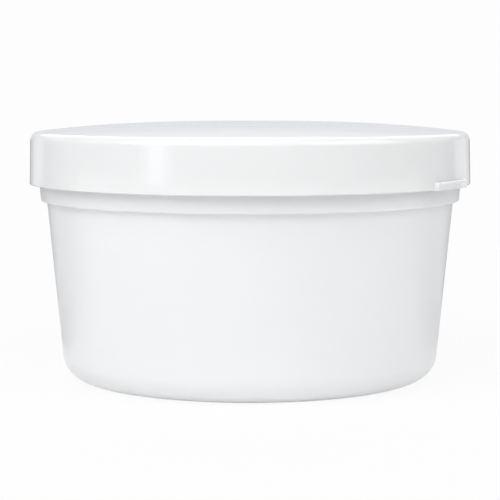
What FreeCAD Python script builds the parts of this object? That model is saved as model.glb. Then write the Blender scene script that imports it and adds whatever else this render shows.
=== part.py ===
import FreeCAD, Part
import math
import os

import Sketcher

# Snap-lid plastic jar: a round tub with a tapered wall and a stepped collar, and a lid that
# snaps over its rim and has a thumb tab at its lower edge.
# The frame: +Z up along the jar's axis, z = 0 on the table, and the front looks along +Y.
# The jar is shut, so the tub is solid up to its rim. Lengths are in millimetres.

SIZES = [
    ("neck_radius", 56.95, "outside of the collar at its lower edge"),
    ("jar_height", 65.8, "rim that the lid sits on, above the table"),
    ("collar_depth", 17.2, "underside of the collar, below the rim"),
    ("collar_step", 1.6, "how far the collar stands out from the wall"),
    ("collar_draft", 4.1, "lean of the collar, in degrees"),
    ("collar_round", 0.5, "rounding of the collar's lower edge"),
    ("wall_draft", 5.5, "lean of the wall, in degrees"),
    ("foot_round", 6.8, "rounding between the wall and the base"),
    ("foot_ring", 5.0, "width of the flat ring that the jar stands on"),
    ("base_recess", 0.8, "depth of the base inside that ring"),
    ("bead_height", 2.0, "height of the snap bead, from the rim down"),
    ("bead_reach", 0.4, "how far the snap bead stands out from the neck"),
    ("bead_round", 0.3, "rounding of the bead's upper edge"),
    ("skirt_depth", 12.6, "how far the lid's skirt hangs below the rim"),
    ("skirt_wall", 1.05, "thickness of the skirt"),
    ("skirt_draft", 1.4, "lean of the skirt, in degrees"),
    ("skirt_gap", 0.2, "clearance between the bead and the skirt"),
    ("skirt_round", 0.3, "rounding of the skirt's lower edges"),
    ("snap_gap", 0.15, "clearance between the neck and the lid's snap ridge"),
    ("snap_drop", 0.25, "clearance between the bead and that ridge, downwards"),
    ("snap_land", 0.6, "height of the ridge at its tip"),
    ("seat_width", 1.6, "width of the lid's seat on the rim"),
    ("lid_edge", 1.17, "height of the lid's edge above the rim, before its rounding"),
    ("lid_rise", 2.53, "how far the middle of the lid stands above that edge"),
    ("lid_wall", 1.2, "thickness of the lid in its middle"),
    ("lid_flat", 20.0, "radius of the lid's flat middle"),
    ("lid_round", 2.1, "rounding between the skirt and the top"),
    ("tab_width", 18.5, "width of the thumb tab along the skirt"),
    ("tab_height", 2.15, "height of the thumb tab"),
    ("tab_reach", 1.35, "how far the thumb tab stands out from the skirt"),
    ("tab_corner", 1.1, "rounding of the tab's two upper corners"),
    ("tab_round", 0.85, "rounding along the tab's outer edge"),
    ("tab_turn", -30.4, "where the tab is, in degrees about +Z from +X"),
]

# The jar's section, worked out from the sheet.
COLLAR_Z = "(Sizes.jar_height - Sizes.collar_depth)"
WALL_TOP = "(Sizes.neck_radius - Sizes.collar_step)"
WALL_FOOT = f"({WALL_TOP} - {COLLAR_Z} * tan(Sizes.wall_draft))"
RING_OUTSIDE = f"({WALL_FOOT} - Sizes.foot_round * tan(45 - Sizes.wall_draft / 2))"
RING_INSIDE = f"({RING_OUTSIDE} - Sizes.foot_ring)"
BEAD_Z = "(Sizes.jar_height - Sizes.bead_height)"
NECK_Z = f"({BEAD_Z} - Sizes.bead_reach)"
NECK_TOP = f"(Sizes.neck_radius + ({NECK_Z} - {COLLAR_Z}) * tan(Sizes.collar_draft))"
BEAD = f"({NECK_TOP} + Sizes.bead_reach)"

# The lid's section. The skirt's two faces are given by their radius at the height of the rim.
SKIRT_INSIDE = f"({BEAD} + Sizes.skirt_gap)"
SKIRT_OUTSIDE = f"({SKIRT_INSIDE} + Sizes.skirt_wall)"
SKIRT_Z = "(Sizes.jar_height - Sizes.skirt_depth)"
SEAT_INSIDE = f"({BEAD} - Sizes.seat_width)"
EDGE_Z = "(Sizes.jar_height + Sizes.lid_edge)"
TOP_Z = f"({EDGE_Z} + Sizes.lid_rise)"
UNDER_Z = f"({TOP_Z} - Sizes.lid_wall)"
SNAP_TIP = f"({NECK_TOP} + Sizes.snap_gap)"
SNAP_TIP_Z = f"({NECK_Z} - Sizes.snap_drop)"
SNAP_REACH = f"({SKIRT_INSIDE} - {SNAP_TIP})"
SNAP_TOP_Z = f"({SNAP_TIP_Z} + {SNAP_REACH})"
SNAP_LAND_Z = f"({SNAP_TIP_Z} - Sizes.snap_land)"
SNAP_FOOT_Z = f"({SNAP_LAND_Z} - {SNAP_REACH})"
TAB_TOP_Z = f"({SKIRT_Z} + Sizes.tab_height)"

FULL_TURN = 360
SAME = 1e-4  # two lengths nearer than this count as one


def on_skirt(face, height):
    """The radius of one of the skirt's faces at a height. The skirt widens downwards."""
    return f"({face} + (Sizes.jar_height - {height}) * tan(Sizes.skirt_draft))"


def make_sheet(doc):
    """The spreadsheet of driving sizes: what each is in column A, and its value in column B."""
    sheet = doc.addObject("Spreadsheet::Sheet", "Sizes")
    for row, (alias, value, meaning) in enumerate(SIZES, start=1):
        sheet.set(f"A{row}", meaning)
        sheet.set(f"B{row}", str(value))
        sheet.setAlias(f"B{row}", alias)
    doc.recompute()


def number(owner, expression):
    """What an expression on the sheet comes to. None stands for the axis or the table."""
    return float(owner.evalExpression(expression)) if expression else 0.0


def add_body(doc, label):
    """An empty sub-part, which stands where the document's origin is."""
    body = doc.addObject("PartDesign::Body", label.title())
    body.Label = label
    body.Placement = FreeCAD.Placement()
    return body


def add_sketch(body, name):
    """A sketch on the body's upright XZ plane: across is the radius, up is the height."""
    sketch = body.newObject("Sketcher::SketchObject", name)
    plane = next(part for part in body.Origin.OriginFeatures if part.Role == "XZ_Plane")
    sketch.AttachmentSupport = [(plane, "")]
    sketch.MapMode = "FlatFace"
    return sketch


def tie(sketch, kind, side, end, expression):
    """Holds a side's end at a distance from the axis (DistanceX) or the table (DistanceY), or
    on it where there is no expression."""
    if expression:
        value = number(sketch, expression)
        index = sketch.addConstraint(Sketcher.Constraint(kind, -1, 1, side, end, value))
        sketch.setExpression(f"Constraints[{index}]", expression)
    else:
        axis = {"DistanceX": -2, "DistanceY": -1}[kind]
        sketch.addConstraint(Sketcher.Constraint("PointOnObject", side, end, axis))


def dome_arc(flat, edge):
    """The arc that leaves the lid's flat middle without a corner and falls to its edge."""
    run = edge.x - flat.x
    drop = flat.y - edge.y
    radius = (run**2 + drop**2) / (2 * drop)
    centre = FreeCAD.Vector(flat.x, flat.y - radius, 0)
    circle = Part.Circle(centre, FreeCAD.Vector(0, 0, 1), radius)
    return Part.ArcOfCircle(circle, math.acos(run / radius), math.pi / 2)


def add_side(sketch, start, end, curved):
    """One side of an outline: its number in the sketch, and which of its ends is the first and
    which the last along the outline. An arc runs anticlockwise whichever way its outline goes."""
    if not curved:
        return sketch.addGeometry(Part.LineSegment(start, end), False), 1, 2
    if start.y > end.y:
        return sketch.addGeometry(dome_arc(start, end), False), 2, 1
    return sketch.addGeometry(dome_arc(end, start), False), 1, 2


def add_outline(sketch, corners):
    """Closes sides round the corners and ties them to the sheet. A corner is a radius and a
    height, and a third item where the side that starts there is an arc of the lid's dome."""
    points = [FreeCAD.Vector(number(sketch, c[0]), number(sketch, c[1]), 0) for c in corners]
    sides = []
    for corner, start, end in zip(corners, points, points[1:] + points[:1]):
        sides.append(add_side(sketch, start, end, len(corner) > 2))
    for corner, before, after in zip(corners, sides[-1:] + sides[:-1], sides):
        kind = "Tangent" if corner[0] == "Sizes.lid_flat" else "Coincident"
        sketch.addConstraint(Sketcher.Constraint(kind, before[0], before[2], after[0], after[1]))
        tie(sketch, "DistanceX", after[0], after[1], corner[0])
        tie(sketch, "DistanceY", after[0], after[1], corner[1])


def revolve(body, sketch, name, angle=None):
    """Turns the sketch about the axis: all the way, or by an angle that its plane halves."""
    turn = body.newObject("PartDesign::Revolution", name)
    turn.Profile = sketch
    turn.ReferenceAxis = (sketch, ["V_Axis"])
    turn.Angle = FULL_TURN
    if angle:
        turn.Midplane = True
        turn.setExpression("Angle", angle)
    body.Document.recompute()
    return turn


def at(owner, radius=None, height=None):
    """A test of an edge: whether both its ends are at a radius and at a height."""
    sought = [number(owner, value) if value else None for value in (radius, height)]

    def holds(edge):
        points = [edge.valueAt(edge.FirstParameter), edge.valueAt(edge.LastParameter)]
        found = [(math.hypot(point.x, point.y), point.z) for point in points]
        pairs = [pair for end in found for pair in zip(end, sought)]
        return all(want is None or abs(have - want) < SAME for have, want in pairs)

    return holds


def round_edges(body, base, name, wanted, radius):
    """Rounds those edges of a feature that a test picks."""
    numbered = enumerate(base.Shape.Edges, start=1)
    picked = [f"Edge{i}" for i, edge in numbered if wanted(edge)]
    if not picked:
        raise RuntimeError(f"{name} has no edge to round")
    fillet = body.newObject("PartDesign::Fillet", name)
    fillet.Base = (base, picked)
    fillet.setExpression("Radius", radius)
    body.Document.recompute()
    return fillet


def make_jar(doc):
    """The tub: foot, tapered wall, collar, neck and snap bead, solid up to the rim."""
    body = add_body(doc, "jar")
    sketch = add_sketch(body, "JarSection")
    add_outline(sketch, [
        (None, "Sizes.base_recess"),
        (f"{RING_INSIDE} - Sizes.base_recess", "Sizes.base_recess"),
        (RING_INSIDE, None),
        (WALL_FOOT, None),
        (WALL_TOP, COLLAR_Z),
        ("Sizes.neck_radius", COLLAR_Z),
        (NECK_TOP, NECK_Z),
        (BEAD, BEAD_Z),
        (BEAD, "Sizes.jar_height"),
        (None, "Sizes.jar_height"),
    ])
    shape = revolve(body, sketch, "JarSolid")
    foot = at(shape, WALL_FOOT, "0")
    shape = round_edges(body, shape, "FootRound", foot, "Sizes.foot_round")
    collar = at(shape, "Sizes.neck_radius", COLLAR_Z)
    shape = round_edges(body, shape, "CollarRound", collar, "Sizes.collar_round")
    bead = at(shape, BEAD, "Sizes.jar_height")
    round_edges(body, shape, "BeadRound", bead, "Sizes.bead_round")
    return body


def make_lid(doc):
    """The lid: domed top, shoulder, skirt, snap ridge, seat on the rim, and thumb tab."""
    body = add_body(doc, "lid")
    sketch = add_sketch(body, "LidSection")
    add_outline(sketch, [
        (None, UNDER_Z),
        ("Sizes.lid_flat", UNDER_Z, "dome"),
        (SEAT_INSIDE, "Sizes.jar_height"),
        (SKIRT_INSIDE, "Sizes.jar_height"),
        (on_skirt(SKIRT_INSIDE, SNAP_TOP_Z), SNAP_TOP_Z),
        (SNAP_TIP, SNAP_TIP_Z),
        (SNAP_TIP, SNAP_LAND_Z),
        (on_skirt(SKIRT_INSIDE, SNAP_FOOT_Z), SNAP_FOOT_Z),
        (on_skirt(SKIRT_INSIDE, SKIRT_Z), SKIRT_Z),
        (on_skirt(SKIRT_OUTSIDE, SKIRT_Z), SKIRT_Z),
        (on_skirt(SKIRT_OUTSIDE, EDGE_Z), EDGE_Z, "dome"),
        ("Sizes.lid_flat", TOP_Z),
        (None, TOP_Z),
    ])
    shape = revolve(body, sketch, "LidSolid")
    shoulder = at(shape, on_skirt(SKIRT_OUTSIDE, EDGE_Z), EDGE_Z)
    shape = round_edges(body, shape, "LidRound", shoulder, "Sizes.lid_round")
    for name, face in (("SkirtRoundOutside", SKIRT_OUTSIDE), ("SkirtRoundInside", SKIRT_INSIDE)):
        lower = at(shape, on_skirt(face, SKIRT_Z), SKIRT_Z)
        shape = round_edges(body, shape, name, lower, "Sizes.skirt_round")
    add_tab(body)
    return body


def add_tab(body):
    """The thumb tab: a raised bar along a stretch of the skirt, level with its lower edge."""
    skirt = on_skirt(SKIRT_OUTSIDE, SKIRT_Z)
    root = f"({skirt} - Sizes.skirt_wall / 2)"
    front = f"({skirt} + Sizes.tab_reach)"
    sketch = add_sketch(body, "TabSection")
    turn = FreeCAD.Rotation(FreeCAD.Vector(0, 1, 0), number(sketch, "Sizes.tab_turn"))
    sketch.AttachmentOffset = FreeCAD.Placement(FreeCAD.Vector(), turn)
    sketch.setExpression("AttachmentOffset.Rotation.Angle", "Sizes.tab_turn * 1deg")
    add_outline(sketch, [
        (root, SKIRT_Z),
        (front, SKIRT_Z),
        (front, TAB_TOP_Z),
        (root, TAB_TOP_Z),
    ])
    shape = revolve(body, sketch, "TabSolid", f"Sizes.tab_width / {front} * 180 / pi")
    upper = at(shape, height=TAB_TOP_Z)
    lower = at(shape, height=SKIRT_Z)
    outer = at(shape, front)

    def is_corner(edge):
        return upper(edge) and isinstance(edge.Curve, Part.Line)

    def is_outer(edge):
        return outer(edge) and not lower(edge)

    shape = round_edges(body, shape, "TabCorners", is_corner, "Sizes.tab_corner")
    round_edges(body, shape, "TabRound", is_outer, "Sizes.tab_round")


def check(doc, bodies):
    """Stops unless every feature was made and each sub-part is one valid solid."""
    for part in doc.Objects:
        if {"Invalid", "Error"} & set(part.State):
            raise RuntimeError(f"{part.Name} was not made: {part.State}")
    for body in bodies:
        shape = body.Shape
        if shape.isNull() or not shape.isValid() or len(shape.Solids) != 1:
            raise RuntimeError(f"{body.Label} is not one valid solid")


def main():
    doc = FreeCAD.newDocument("SnapLidJar")
    make_sheet(doc)
    bodies = [make_jar(doc), make_lid(doc)]
    doc.recompute()
    check(doc, bodies)
    os.makedirs("parts", exist_ok=True)
    for body in bodies:
        body.Shape.exportStep(f"parts/{body.Label}.step")
        print(body.Label, "volume", round(body.Shape.Volume, 2), "area", round(body.Shape.Area, 2))


main()
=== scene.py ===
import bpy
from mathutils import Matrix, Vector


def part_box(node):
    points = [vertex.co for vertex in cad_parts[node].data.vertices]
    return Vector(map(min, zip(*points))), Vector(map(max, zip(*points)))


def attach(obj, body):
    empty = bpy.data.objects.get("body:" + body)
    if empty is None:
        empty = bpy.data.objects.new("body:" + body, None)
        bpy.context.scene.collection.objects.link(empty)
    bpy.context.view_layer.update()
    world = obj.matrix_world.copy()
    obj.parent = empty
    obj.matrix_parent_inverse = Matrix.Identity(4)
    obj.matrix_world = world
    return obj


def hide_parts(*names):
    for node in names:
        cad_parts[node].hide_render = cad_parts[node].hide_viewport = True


bl_info = {
    "name": "Snap-lid plastic jar",
    "version": (1, 0, 0),
    "blender": (4, 5, 0),
    "location": "3D View > Sidebar > Jar",
    "description": "Models a round food tub with a snap lid and lights it for a catalogue view",
    "category": "Object",
}

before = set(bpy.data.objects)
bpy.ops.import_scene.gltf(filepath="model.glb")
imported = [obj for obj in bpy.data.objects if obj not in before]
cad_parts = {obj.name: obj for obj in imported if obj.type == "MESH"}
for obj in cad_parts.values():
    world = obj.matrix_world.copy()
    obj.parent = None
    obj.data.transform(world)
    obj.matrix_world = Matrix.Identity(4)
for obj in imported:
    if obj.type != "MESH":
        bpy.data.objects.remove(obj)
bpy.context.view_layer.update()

import math

import bmesh
import bpy
from bpy.props import FloatProperty, FloatVectorProperty, IntProperty, PointerProperty
from mathutils import Matrix, Vector

# Everything is in metres. +Z is up along the jar's axis, the table is z = 0, and the front of
# the jar faces -Y. The overall sizes come from the frame's two boxes.
JAR_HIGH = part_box("jar")[1]
LID_LOW, LID_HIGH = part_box("lid")
MM = 0.001
UP = (0.0, 0.0, 1.0)
ORIGIN = (0.0, 0.0, 0.0)
AIM = Vector((0.0, 0.0, LID_HIGH[2] / 2))
WHITE = (1.0, 1.0, 1.0)

# How white the backdrop and the far floor are, where 1 is white, and the screens' cool tint.
BACKDROP = 0.985
COOL_GREY = (0.968, 0.995, 1.033)

# The floor: half its width, how far it lies under the table's level, so that the foot isn't in
# it, how much light it scatters, and the distances from the axis between which it turns white.
FLOOR_REACH = 40.0
FLOOR_DROP = 0.05 * MM
FLOOR_SCATTER = 0.95
FLOOR_FADE = (0.06, 0.4)

# Fineness of the curves: how far a rounding turns in one face, and a screen, in degrees, and how
# many faces there are from the lid's flat middle to its edge, along the tab and round its edges.
ROUNDING_TURN = math.radians(5)
SCREEN_DEGREES = 3
DOME_STEPS = 14
TAB_STEPS = 24
EDGE_STEPS = 8

# Faces that meet at less than the first angle shade as one surface, and edges that turn by more
# than the second count as square. Points within TOUCH are taken as level, and within WELD as one.
SMOOTH_TURN = math.radians(30)
SQUARE_TURN = math.radians(45)
TOUCH = 0.01 * MM
WELD = 0.001 * MM

# How light spreads a little way inside both plastics.
GLOW_INSIDE = {
    "Subsurface Weight": 0.12,
    "Subsurface Radius": (1.0, 1.0, 1.0),
    "Subsurface Scale": 1.5 * MM,
}

# Each lamp's angle from the front and above the table, in degrees, its width and height in
# metres, and its power in watts. All of them stand the same distance from the jar.
LAMP_DISTANCE = 1.0
LAMPS = (
    ("front box", -18, 45, 0.8, 0.8, 3.1),
    ("left box", -50, 42, 0.7, 0.7, 3.5),
    ("right box", 62, 40, 0.8, 0.6, 3.1),
    ("top box", -10, 78, 0.8, 0.8, 0.5),
    ("rear box", 180, 38, 1.0, 0.7, 2.6),
)

# Sections of the screens round the jar: each is a distance from the jar and a height.
LOW_WALL = ((3.0, 0.0), (3.0, 0.6))
FRONT_WALL = ((3.0, 0.0), (3.0, 0.2))
LIT_WALL = ((2.9, 0.0), (2.9, 2.2))
HIGH_WALL = ((3.0, 0.6), (3.0, 3.6))
GREY_WALL = ((3.05, 0.2), (3.05, 1.2))
STRIP_EDGE_WALL = ((2.95, 0.0), (2.95, 2.2))
NEAR_FLOOR = ((0.052, 0.002), (0.8, 0.002))
FLOOR = ((0.08, 0.001), (3.0, 0.001))
SWEEP = ((0.08, 0.001), (3.0, 0.001), (3.0, 0.6))

# Each screen's left and right end, in degrees from the front, its section, and how light it is.
SCREENS = (
    ("dark front", -96, 96, FRONT_WALL, 0.24),
    ("grey walls", -150, 150, GREY_WALL, 0.7),
    ("light strip", -52, -43, LIT_WALL, 2.3),
    ("light strip edge", -57, -38, STRIP_EDGE_WALL, 0.87),
    ("left side", -131.2, -96, SWEEP, 0.27),
    ("right side", 96, 129.6, SWEEP, 0.42),
    ("left light side", -150, -131.2, SWEEP, 0.84),
    ("right light side", 129.6, 150, SWEEP, 1.0),
    ("left back", -160, -150, SWEEP, 0.55),
    ("right back", 150, 160, SWEEP, 0.72),
    ("back wall", 160, 200, LOW_WALL, 0.74),
    ("back floor", 160, 200, FLOOR, 0.35),
    ("near floor", 138, 222, NEAR_FLOOR, 0.1),
    ("high back wall", 150, 210, HIGH_WALL, 0.8),
)


def length(name, millimetres, description):
    """A size that a user can change, given here in millimetres."""
    return FloatProperty(name=name, description=description, default=millimetres * MM,
                         min=0.0, precision=5, subtype="DISTANCE", unit="LENGTH")


def angle(name, degrees, description):
    """An angle that a user can change, given here in degrees."""
    return FloatProperty(name=name, description=description, default=math.radians(degrees),
                         subtype="ANGLE", unit="ROTATION")


def number(name, default, description):
    """A plain number that a user can change."""
    return FloatProperty(name=name, description=description, default=default, min=0.0)


def colour(name, red, green, blue, description):
    """A colour that a user can change, in linear values."""
    return FloatVectorProperty(name=name, description=description, default=(red, green, blue),
                               size=3, min=0.0, max=1.0, subtype="COLOR")


class TubSizes(bpy.types.PropertyGroup):
    """The tub: foot, tapered wall, collar, neck and snap bead."""
    rim_height: length("Rim height", JAR_HIGH[2] / MM, "Rim that the lid sits on, above the table")
    bead_radius: length("Bead radius", JAR_HIGH[0] / MM, "Outside of the snap bead")
    collar_depth: length("Collar depth", 17.2, "Underside of the collar, below the rim")
    collar_step: length("Collar step", 1.6, "How far the collar stands out from the wall")
    collar_draft: angle("Collar draft", 4.1, "Lean of the collar")
    collar_round: length("Collar rounding", 0.5, "Rounding of the collar's lower edge")
    wall_draft: angle("Wall draft", 5.5, "Lean of the wall")
    foot_round: length("Foot rounding", 6.8, "Rounding between the wall and the base")
    foot_ring: length("Foot ring", 5.0, "Width of the flat ring that the jar stands on")
    base_recess: length("Base recess", 0.8, "Depth of the base inside that ring")
    bead_height: length("Bead height", 2.0, "Height of the snap bead, from the rim down")
    bead_reach: length("Bead reach", 0.4, "How far the snap bead stands out from the neck")
    bead_round: length("Bead rounding", 0.3, "Rounding of the bead's upper edge")
    gate_radius: length("Gate radius", 2.2, "Mark in the middle of the base, where it was moulded")
    gate_depth: length("Gate depth", 0.35, "Depth of that mark")


class LidSizes(bpy.types.PropertyGroup):
    """The lid: domed top, shoulder, skirt, snap ridge and seat."""
    top_height: length("Top", LID_HIGH[2] / MM, "Middle of the lid, above the table")
    skirt_height: length("Skirt edge", LID_LOW[2] / MM, "Lower edge of the skirt, above the table")
    skirt_wall: length("Skirt wall", 1.05, "Thickness of the skirt")
    skirt_draft: angle("Skirt draft", 1.4, "Lean of the skirt")
    skirt_gap: length("Skirt gap", 0.2, "Clearance between the bead and the skirt")
    skirt_round: length("Skirt rounding", 0.3, "Rounding of the skirt's lower edges")
    snap_gap: length("Snap gap", 0.15, "Clearance between the neck and the snap ridge")
    snap_drop: length("Snap drop", 0.25, "Clearance between the bead and the snap ridge")
    snap_land: length("Snap land", 0.6, "Height of the snap ridge at its tip")
    seat_width: length("Seat width", 1.6, "Width of the lid's seat on the rim")
    rise: length("Rise", 2.53, "How far the middle of the lid stands above its edge")
    wall: length("Wall", 1.2, "Thickness of the lid in its middle")
    flat: length("Flat middle", 20.0, "Radius of the lid's flat middle")
    shoulder: length("Shoulder", 2.1, "Rounding between the skirt and the top")


class TabSizes(bpy.types.PropertyGroup):
    """The thumb tab: a raised bar on the skirt, level with the skirt's lower edge."""
    width: length("Width", 18.5, "Width of the tab along the skirt")
    height: length("Height", 2.15, "Height of the tab")
    reach: length("Reach", 1.35, "How far the tab stands out from the skirt")
    corner: length("Corner", 1.1, "Rounding of the two upper corners")
    rounding: length("Rounding", 0.85, "Rounding along the outer edge")
    turn: angle("Turn", -30.4, "Where the tab is, about +Z from +X")


class Looks(bpy.types.PropertyGroup):
    """Colours, fineness of the meshes, and the camera."""
    tub_colour: colour("Tub", 0.842, 0.849, 0.858, "Colour of the tub's plastic")
    lid_colour: colour("Lid", 0.815, 0.822, 0.826, "Colour of the lid's plastic")
    steps: IntProperty(name="Steps", description="Faces round the jar", default=288, min=24)
    ring_gap: length("Ring gap", 3.5, "Longest straight face from ring to ring")
    camera_distance: length("Camera distance", 503.8, "Camera in front of the jar's axis")
    camera_height: length("Camera height", 82.0, "Camera above the table")
    camera_pitch: angle("Camera pitch", 5.382, "How far the camera looks down")
    camera_lens: number("Lens", 132.47, "Focal length in millimetres")
    room_light: number("Room light", 0.33, "Strength of the even light from all round")
    floor_glow: number("Floor glow", 0.93, "How far the floor is white beside the jar")


# ---- Shapes ------------------------------------------------------------------------------


def draw_line(bm, corners):
    """A line through corners, each with a radius and a height, in an upright section."""
    points = [bm.verts.new((radius, 0.0, height)) for radius, height in corners]
    for start, end in zip(points, points[1:]):
        bm.edges.new((start, end))
    return points


def draw_dome(bm, flat_point, edge_point):
    """Joins the rim of the lid's flat middle to its edge, by an arc that leaves the middle
    without a corner."""
    run = edge_point.co.x - flat_point.co.x
    drop = flat_point.co.z - edge_point.co.z
    radius = (run**2 + drop**2) / (2 * drop)
    centre = (flat_point.co.x, 0.0, flat_point.co.z - radius)
    arc = bmesh.ops.spin(bm, geom=[flat_point], cent=centre, axis=(0.0, 1.0, 0.0),
                         angle=math.asin(run / radius), steps=DOME_STEPS)
    last = next(part for part in arc["geom_last"] if isinstance(part, bmesh.types.BMVert))
    bmesh.ops.weld_verts(bm, targetmap={last: edge_point})


def round_point(bm, point, rounding):
    """Rounds a corner of a section. Where the rounding meets the corner's two sides depends on
    how far the line turns there."""
    ways = [edge.other_vert(point).co - point.co for edge in point.link_edges]
    turn = math.pi - ways[0].angle(ways[1])
    segments = max(4, math.ceil(turn / ROUNDING_TURN))
    bmesh.ops.bevel(bm, geom=[point], offset=rounding * math.tan(turn / 2), segments=segments,
                    profile=0.5, affect="VERTICES", material=-1)


def divide(bm, longest):
    """Cuts the long sides of a section, so that no stretch is longer than a length."""
    for edge in bm.edges[:]:
        cuts = math.ceil(edge.calc_length() / longest) - 1
        if cuts > 0:
            bmesh.ops.subdivide_edges(bm, edges=[edge], cuts=cuts)


def lathe(bm, steps):
    """Turns a section all the way round the axis and closes it there."""
    bmesh.ops.spin(bm, geom=bm.verts[:] + bm.edges[:], cent=ORIGIN, axis=UP,
                   angle=math.tau, steps=steps, use_merge=True)
    bmesh.ops.remove_doubles(bm, verts=bm.verts[:], dist=WELD)


def round_edges(bm, edges, rounding):
    """Rounds square edges."""
    bmesh.ops.bevel(bm, geom=edges, offset=rounding, segments=EDGE_STEPS, profile=0.5,
                    affect="EDGES", material=-1)


def finish_piece(bm, name, node, material):
    """Turns a closed shape into an object that stands for a node of the frame."""
    bmesh.ops.recalc_face_normals(bm, faces=bm.faces[:])
    for face in bm.faces:
        face.smooth = True
    for edge in bm.edges:
        edge.smooth = edge.calc_face_angle(0.0) < SMOOTH_TURN
    mesh = bpy.data.meshes.new(name)
    bm.to_mesh(mesh)
    bm.free()
    mesh.materials.append(material)
    piece = bpy.data.objects.new(name, mesh)
    bpy.context.scene.collection.objects.link(piece)
    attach(piece, "root")
    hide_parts(node)


def widen(radius, drop, draft):
    """The radius of a face that leans outwards, a drop below where its radius is known."""
    return radius + drop * math.tan(draft)


def tub_shape(tub, looks):
    """The tub, solid up to its rim."""
    rim = tub.rim_height
    collar = rim - tub.collar_depth
    bead = rim - tub.bead_height
    neck = bead - tub.bead_reach
    neck_radius = tub.bead_radius - tub.bead_reach
    collar_radius = widen(neck_radius, collar - neck, tub.collar_draft)
    wall_radius = collar_radius - tub.collar_step
    foot_radius = widen(wall_radius, -collar, tub.wall_draft)
    ring_outside = foot_radius - tub.foot_round * math.tan((math.pi / 2 - tub.wall_draft) / 2)
    ring_inside = ring_outside - tub.foot_ring
    # The gate mark is a dimple in the base. The pin in its middle is a third as wide, and stops
    # short of the base by a third of the dimple's depth.
    gate_top = tub.base_recess + tub.gate_depth
    pin_foot = tub.base_recess + tub.gate_depth / 3
    pin_radius = tub.gate_radius / 3
    bm = bmesh.new()
    points = draw_line(bm, [
        (0.0, pin_foot),
        (pin_radius, pin_foot),
        (pin_radius, gate_top),
        (tub.gate_radius - tub.gate_depth, gate_top),
        (tub.gate_radius, tub.base_recess),
        (ring_inside - tub.base_recess, tub.base_recess),
        (ring_inside, 0.0),
        (foot_radius, 0.0),
        (wall_radius, collar),
        (collar_radius, collar),
        (neck_radius, neck),
        (tub.bead_radius, bead),
        (tub.bead_radius, rim),
        (0.0, rim),
    ])
    for point, rounding in ((points[7], tub.foot_round), (points[9], tub.collar_round),
                            (points[12], tub.bead_round)):
        round_point(bm, point, rounding)
    divide(bm, looks.ring_gap)
    lathe(bm, looks.steps)
    return bm


def skirt_radius(tub, lid, height, outside):
    """The radius of the skirt's outer or inner face at a height."""
    rim_radius = tub.bead_radius + lid.skirt_gap + (lid.skirt_wall if outside else 0.0)
    return widen(rim_radius, tub.rim_height - height, lid.skirt_draft)


def lid_shape(tub, lid, looks):
    """The lid without its tab."""
    rim = tub.rim_height
    neck = rim - tub.bead_height - tub.bead_reach
    edge = lid.top_height - lid.rise
    tip_radius = tub.bead_radius - tub.bead_reach + lid.snap_gap
    snap_reach = tub.bead_radius + lid.skirt_gap - tip_radius
    tip = neck - lid.snap_drop
    heights = (rim, tip + snap_reach, tip, tip - lid.snap_land, tip - lid.snap_land - snap_reach)
    bm = bmesh.new()
    ceiling = lid.top_height - lid.wall
    under = draw_line(bm, [(0.0, ceiling), (lid.flat, ceiling)])
    rest = draw_line(bm, [
        (tub.bead_radius - lid.seat_width, rim),
        (skirt_radius(tub, lid, heights[0], False), heights[0]),
        (skirt_radius(tub, lid, heights[1], False), heights[1]),
        (tip_radius, heights[2]),
        (tip_radius, heights[3]),
        (skirt_radius(tub, lid, heights[4], False), heights[4]),
        (skirt_radius(tub, lid, lid.skirt_height, False), lid.skirt_height),
        (skirt_radius(tub, lid, lid.skirt_height, True), lid.skirt_height),
        (skirt_radius(tub, lid, edge, True), edge),
    ])
    top = draw_line(bm, [(lid.flat, lid.top_height), (0.0, lid.top_height)])
    draw_dome(bm, under[-1], rest[0])
    draw_dome(bm, top[0], rest[-1])
    for point, rounding in ((rest[6], lid.skirt_round), (rest[7], lid.skirt_round),
                            (rest[8], lid.shoulder)):
        round_point(bm, point, rounding)
    divide(bm, looks.ring_gap)
    lathe(bm, looks.steps)
    return bm


def tab_shape(tub, lid, tab):
    """The thumb tab: a bar that is bent round the skirt and starts inside its wall."""
    skirt = skirt_radius(tub, lid, lid.skirt_height, True)
    root = skirt - lid.skirt_wall / 2
    front = skirt + tab.reach
    foot = lid.skirt_height
    top = foot + tab.height
    span = tab.width / front
    bm = bmesh.new()
    section = draw_line(bm, [(root, foot), (front, foot), (front, top), (root, top)])
    end = bm.faces.new(section)
    bmesh.ops.rotate(bm, verts=section, cent=ORIGIN,
                     matrix=Matrix.Rotation(tab.turn - span / 2, 3, "Z"))
    bmesh.ops.spin(bm, geom=[end] + end.edges[:] + section, cent=ORIGIN, axis=UP,
                   angle=span, steps=TAB_STEPS)
    bmesh.ops.recalc_face_normals(bm, faces=bm.faces[:])

    def is_square(edge):
        return edge.calc_face_angle(0.0) > SQUARE_TURN

    def is_corner(edge):
        reaches = sorted(point.co.xy.length for point in edge.verts)
        level = all(point.co.z > top - TOUCH for point in edge.verts)
        return is_square(edge) and level and reaches[1] - reaches[0] > tab.reach

    def is_front(edge):
        outermost = all(point.co.xy.length > front - TOUCH for point in edge.verts)
        low = all(point.co.z < foot + TOUCH for point in edge.verts)
        return is_square(edge) and outermost and not low

    round_edges(bm, [edge for edge in bm.edges if is_corner(edge)], tab.corner)
    round_edges(bm, [edge for edge in bm.edges if is_front(edge)], tab.rounding)
    return bm


# ---- Finishes ----------------------------------------------------------------------------


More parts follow.
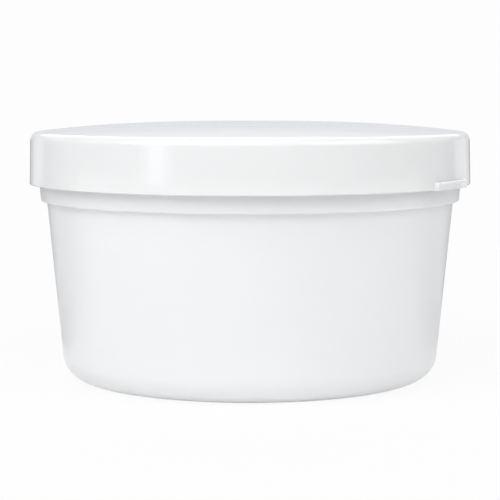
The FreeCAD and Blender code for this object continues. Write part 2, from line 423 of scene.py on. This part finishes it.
class Value:
    """A socket of a shader node that takes part in sums as a number does."""

    def __init__(self, finish, socket):
        self.finish = finish
        self.socket = socket

    def sum(self, operation, first, second):
        return self.finish.node("ShaderNodeMath", {"operation": operation}, {0: first, 1: second})

    def __add__(self, other):
        return self.sum("ADD", self, other)

    def __radd__(self, other):
        return self.sum("ADD", other, self)

    def __sub__(self, other):
        return self.sum("SUBTRACT", self, other)

    def __rsub__(self, other):
        return self.sum("SUBTRACT", other, self)

    def __mul__(self, other):
        return self.sum("MULTIPLY", self, other)

    def __rmul__(self, other):
        return self.sum("MULTIPLY", other, self)


class Finish:
    """The nodes of a material, or of the world, while they are put together."""

    def __init__(self, owner):
        owner.use_nodes = True
        self.tree = owner.node_tree
        self.tree.nodes.clear()

    def node(self, kind, settings=None, inputs=None, output=None):
        """Adds a node with its settings, and the values or links of its sockets."""
        made = self.tree.nodes.new(kind)
        for name, setting in (settings or {}).items():
            setattr(made, name, setting)
        for name, value in (inputs or {}).items():
            socket = find_socket(made.inputs, name)
            if isinstance(value, Value):
                self.tree.links.new(value.socket, socket)
            else:
                socket.default_value = value
        if made.outputs:
            return Value(self, find_socket(made.outputs, output))

    def noise(self, across, along=None):
        """An uneven pattern from 0 to 1, with patches about this large, in metres, across the
        axis and along it."""
        where = self.node("ShaderNodeTexCoord", output="Object")
        scale = (1.0 / across, 1.0 / across, 1.0 / (along or across))
        where = self.node("ShaderNodeMapping", inputs={"Vector": where, "Scale": scale})
        return self.node("ShaderNodeTexNoise", inputs={
            "Vector": where, "Scale": 1.0, "Detail": 2.0})

    def blend(self, amount, first, second):
        """A colour from first, at 0, to second, at 1."""
        return self.node("ShaderNodeMix", {"data_type": "RGBA"}, {
            "Factor": amount, "A": first, "B": second})

    def bump(self, height, depth):
        """The surface's normal where a pattern from 0 to 1 is a relief this deep, in metres."""
        return self.node("ShaderNodeBump", inputs={
            "Strength": 1.0, "Distance": depth, "Height": height})

    def shown(self):
        """1 where the camera, a gloss or a clear part shows a surface, and 0 where it only
        scatters light."""
        camera = self.node("ShaderNodeLightPath", output="Is Camera Ray")
        gloss = self.node("ShaderNodeLightPath", output="Is Glossy Ray")
        clear = self.node("ShaderNodeLightPath", output="Is Transmission Ray")
        return 1 - (1 - camera) * (1 - gloss) * (1 - clear)


def find_socket(sockets, name):
    """A node's socket by its number or name. With no name, its first one that is in use."""
    if isinstance(name, int):
        return sockets[name]
    return next(socket for socket in sockets if socket.enabled and name in (None, socket.name))


def shade(tint, share=1.0):
    """A colour with its alpha, and a share of its brightness."""
    return (tint[0] * share, tint[1] * share, tint[2] * share, 1.0)


def tub_plastic(tint):
    """Satin polypropylene: a fine moulded grain, faint upright flow lines and slow waves."""
    plastic = bpy.data.materials.new("tub plastic")
    finish = Finish(plastic)
    cloud = finish.noise(14 * MM)
    flow = finish.noise(1.2 * MM, along=26 * MM)
    grain = finish.noise(0.28 * MM)
    shader = finish.node("ShaderNodeBsdfPrincipled", inputs={
        "Base Color": finish.blend(cloud, shade(tint, 0.985), shade(tint)),
        "Roughness": flow * 0.05 + grain * 0.06 + 0.28,
        "Normal": finish.bump(grain * 0.5 + flow * 0.5, 0.006 * MM),
        **GLOW_INSIDE,
    })
    finish.node("ShaderNodeOutputMaterial", inputs={"Surface": shader})
    return plastic


def lid_plastic(tint):
    """Glossy polypropylene: smooth, with a slight ripple and faint cloudiness."""
    plastic = bpy.data.materials.new("lid plastic")
    finish = Finish(plastic)
    cloud = finish.noise(18 * MM)
    ripple = finish.noise(7 * MM)
    grain = finish.noise(0.4 * MM)
    shader = finish.node("ShaderNodeBsdfPrincipled", inputs={
        "Base Color": finish.blend(cloud, shade(tint, 0.988), shade(tint)),
        "Roughness": grain * 0.02 + cloud * 0.02 + 0.025,
        "Normal": finish.bump(ripple * 0.9 + grain * 0.1, 0.005 * MM),
        **GLOW_INSIDE,
    })
    finish.node("ShaderNodeOutputMaterial", inputs={"Surface": shader})
    return plastic


# ---- Stage -------------------------------------------------------------------------------


def add_stand_in(name, bm, material):
    """An object of the stage, which isn't part of the jar."""
    mesh = bpy.data.meshes.new(name)
    bm.to_mesh(mesh)
    bm.free()
    mesh.materials.append(material)
    made = bpy.data.objects.new(name, mesh)
    bpy.context.scene.collection.objects.link(made)
    return made


def make_floor(looks):
    """A pale floor that shows as white and still takes the jar's shadow near it."""
    paint = bpy.data.materials.new("floor")
    finish = Finish(paint)
    glow = finish.node("ShaderNodeEmission", inputs={"Color": shade(WHITE), "Strength": BACKDROP})
    matt = finish.node("ShaderNodeBsdfDiffuse", inputs={"Color": shade(WHITE, FLOOR_SCATTER)})
    where = finish.node("ShaderNodeTexCoord", output="Object")
    away = finish.node("ShaderNodeVectorMath", {"operation": "LENGTH"}, {0: where}, output="Value")
    fade = finish.node("ShaderNodeMapRange", {"interpolation_type": "SMOOTHSTEP"}, {
        "Value": away, "From Min": FLOOR_FADE[0], "From Max": FLOOR_FADE[1],
        "To Min": looks.floor_glow, "To Max": 1.0})
    shader = finish.node("ShaderNodeMixShader", inputs={
        0: finish.shown() * fade, 1: matt, 2: glow})
    finish.node("ShaderNodeOutputMaterial", inputs={"Surface": shader})
    bm = bmesh.new()
    bmesh.ops.create_grid(bm, x_segments=1, y_segments=1, size=FLOOR_REACH)
    bmesh.ops.translate(bm, verts=bm.verts, vec=(0.0, 0.0, -FLOOR_DROP))
    add_stand_in("floor", bm, paint)


def make_sky(looks):
    """Even light from all round, and a white backdrop where it is seen."""
    world = bpy.data.worlds.new("backdrop")
    bpy.context.scene.world = world
    finish = Finish(world)
    strength = looks.room_light + finish.shown() * (BACKDROP - looks.room_light)
    sky = finish.node("ShaderNodeBackground", inputs={"Color": shade(WHITE), "Strength": strength})
    finish.node("ShaderNodeOutputWorld", inputs={"Surface": sky})


def add_lamp(name, side, height, width, tall, power):
    """A soft lamp that faces the jar. Side is its angle from the front, to the right, and
    height its angle above the table, both in degrees."""
    side, height = math.radians(side), math.radians(height)
    lamp = bpy.data.lights.new(name, "AREA")
    lamp.shape = "RECTANGLE"
    lamp.size = width
    lamp.size_y = tall
    lamp.energy = power
    lamp_object = bpy.data.objects.new(name, lamp)
    bpy.context.scene.collection.objects.link(lamp_object)
    across = math.cos(height)
    way = Vector((math.sin(side) * across, -math.cos(side) * across, math.sin(height)))
    lamp_object.location = AIM + way * LAMP_DISTANCE
    lamp_object.rotation_euler = way.to_track_quat("Z", "Y").to_euler()
    lamp_object.visible_camera = False


def add_screen(name, left, right, section, level):
    """A screen that is seen in gloss alone. Its section is turned about the jar's axis from left
    to right, which are angles from the front in degrees."""
    paint = bpy.data.materials.new(name)
    finish = Finish(paint)
    shader = finish.node("ShaderNodeEmission", inputs={
        "Color": shade(COOL_GREY), "Strength": level})
    finish.node("ShaderNodeOutputMaterial", inputs={"Surface": shader})
    bm = bmesh.new()
    edge = draw_line(bm, section)
    bmesh.ops.rotate(bm, verts=edge, cent=ORIGIN,
                     matrix=Matrix.Rotation(math.radians(left - 90), 3, "Z"))
    bmesh.ops.spin(bm, geom=bm.verts[:] + bm.edges[:], cent=ORIGIN, axis=UP,
                   angle=math.radians(right - left),
                   steps=math.ceil((right - left) / SCREEN_DEGREES))
    screen = add_stand_in(name, bm, paint)
    screen.visible_camera = False
    screen.visible_diffuse = False
    screen.visible_shadow = False
    screen.visible_transmission = False


# ---- Operators ---------------------------------------------------------------------------


class JAR_OT_tub(bpy.types.Operator):
    """Model the tub and give it satin plastic"""
    bl_idname = "jar.make_tub"
    bl_label = "Make tub"
    bl_options = {"UNDO"}

    def execute(self, context):
        scene = context.scene
        shape = tub_shape(scene.jar_tub, scene.jar_looks)
        finish_piece(shape, "tub", "jar", tub_plastic(scene.jar_looks.tub_colour))
        return {"FINISHED"}


class JAR_OT_lid(bpy.types.Operator):
    """Model the lid and its thumb tab and give them glossy plastic"""
    bl_idname = "jar.make_lid"
    bl_label = "Make lid"
    bl_options = {"UNDO"}

    def execute(self, context):
        scene = context.scene
        plastic = lid_plastic(scene.jar_looks.lid_colour)
        shape = lid_shape(scene.jar_tub, scene.jar_lid, scene.jar_looks)
        finish_piece(shape, "lid_cap", "lid", plastic)
        shape = tab_shape(scene.jar_tub, scene.jar_lid, scene.jar_tab)
        finish_piece(shape, "lid_tab", "lid", plastic)
        return {"FINISHED"}


class JAR_OT_stage(bpy.types.Operator):
    """Set up the floor, the backdrop, the lamps and the camera"""
    bl_idname = "jar.make_stage"
    bl_label = "Make stage"
    bl_options = {"UNDO"}

    def execute(self, context):
        looks = context.scene.jar_looks
        make_floor(looks)
        make_sky(looks)
        for lamp in LAMPS:
            add_lamp(*lamp)
        for screen in SCREENS:
            add_screen(*screen)
        camera = bpy.data.cameras.new("camera")
        camera.lens = looks.camera_lens
        camera_object = bpy.data.objects.new("camera", camera)
        camera_object.location = (0.0, -looks.camera_distance, looks.camera_height)
        camera_object.rotation_euler = (math.pi / 2 - looks.camera_pitch, 0.0, 0.0)
        context.scene.collection.objects.link(camera_object)
        context.scene.camera = camera_object
        context.scene.view_settings.view_transform = "Standard"
        return {"FINISHED"}


class JAR_PT_panel(bpy.types.Panel):
    """The jar's sizes and the buttons that make it"""
    bl_label = "Snap-lid jar"
    bl_idname = "JAR_PT_panel"
    bl_space_type = "VIEW_3D"
    bl_region_type = "UI"
    bl_category = "Jar"

    def draw(self, context):
        for settings, title in SETTINGS.items():
            box = self.layout.box()
            box.label(text=title)
            group = getattr(context.scene, settings)
            for name in group.__annotations__:
                box.prop(group, name)
        for operator in OPERATORS:
            self.layout.operator(operator.bl_idname)


OPERATORS = (JAR_OT_tub, JAR_OT_lid, JAR_OT_stage)
GROUPS = {"jar_tub": TubSizes, "jar_lid": LidSizes, "jar_tab": TabSizes, "jar_looks": Looks}
SETTINGS = {"jar_tub": "Tub", "jar_lid": "Lid", "jar_tab": "Thumb tab", "jar_looks": "Looks"}


def register():
    for made in (*GROUPS.values(), *OPERATORS, JAR_PT_panel):
        bpy.utils.register_class(made)
    for name, group in GROUPS.items():
        setattr(bpy.types.Scene, name, PointerProperty(type=group))


def unregister():
    for name in GROUPS:
        delattr(bpy.types.Scene, name)
    for made in (JAR_PT_panel, *OPERATORS, *GROUPS.values()):
        bpy.utils.unregister_class(made)


def main():
    register()
    bpy.ops.jar.make_tub()
    bpy.ops.jar.make_lid()
    bpy.ops.jar.make_stage()


if __name__ == "__main__":
    main()
